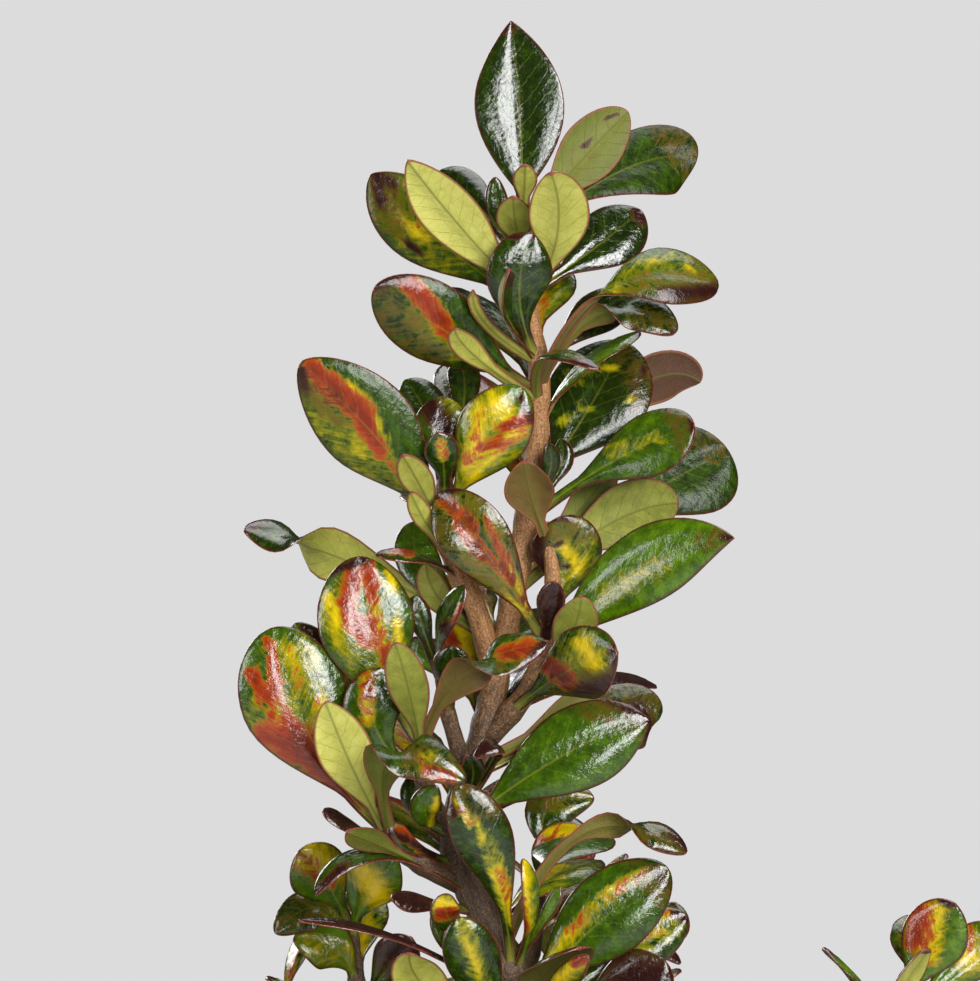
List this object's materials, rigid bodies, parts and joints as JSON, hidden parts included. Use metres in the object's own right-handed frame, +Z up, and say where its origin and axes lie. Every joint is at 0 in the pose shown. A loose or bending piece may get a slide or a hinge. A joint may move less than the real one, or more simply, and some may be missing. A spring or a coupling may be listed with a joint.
{
  "type": "potted coprosma",
  "caption": "Potted coprosma: upright woody stems with glossy variegated leaves, rooted in soil in a plain clay pot that stands on a flat surface.",
  "frame": {"origin": "centre of the pot's underside, on the surface that the pot stands on", "axes": "+Z up along the pot's axis, +X to the right and -Y towards the viewer in the front view"},
  "size_m": [0.1613, 0.13, 0.3485],
  "materials": {
    "clay": "matt unglazed fired clay",
    "soil": "crumbly dark potting compost",
    "leaf": "very glossy waxy leaf, green variegated with yellow, orange and red",
    "bark": "thin tan-brown bark, rough and dark on the oldest wood"
  },
  "bodies": {
    "root": {"pot": "clay", "soil": "soil", "leader": "leaf", "right_shoot": "leaf", "back_left_shoot": "leaf", "back_right_shoot": "leaf", "left_shoot": "leaf", "front_left_shoot": "leaf", "front_right_shoot": "leaf"}
  },
  "joints": []
}
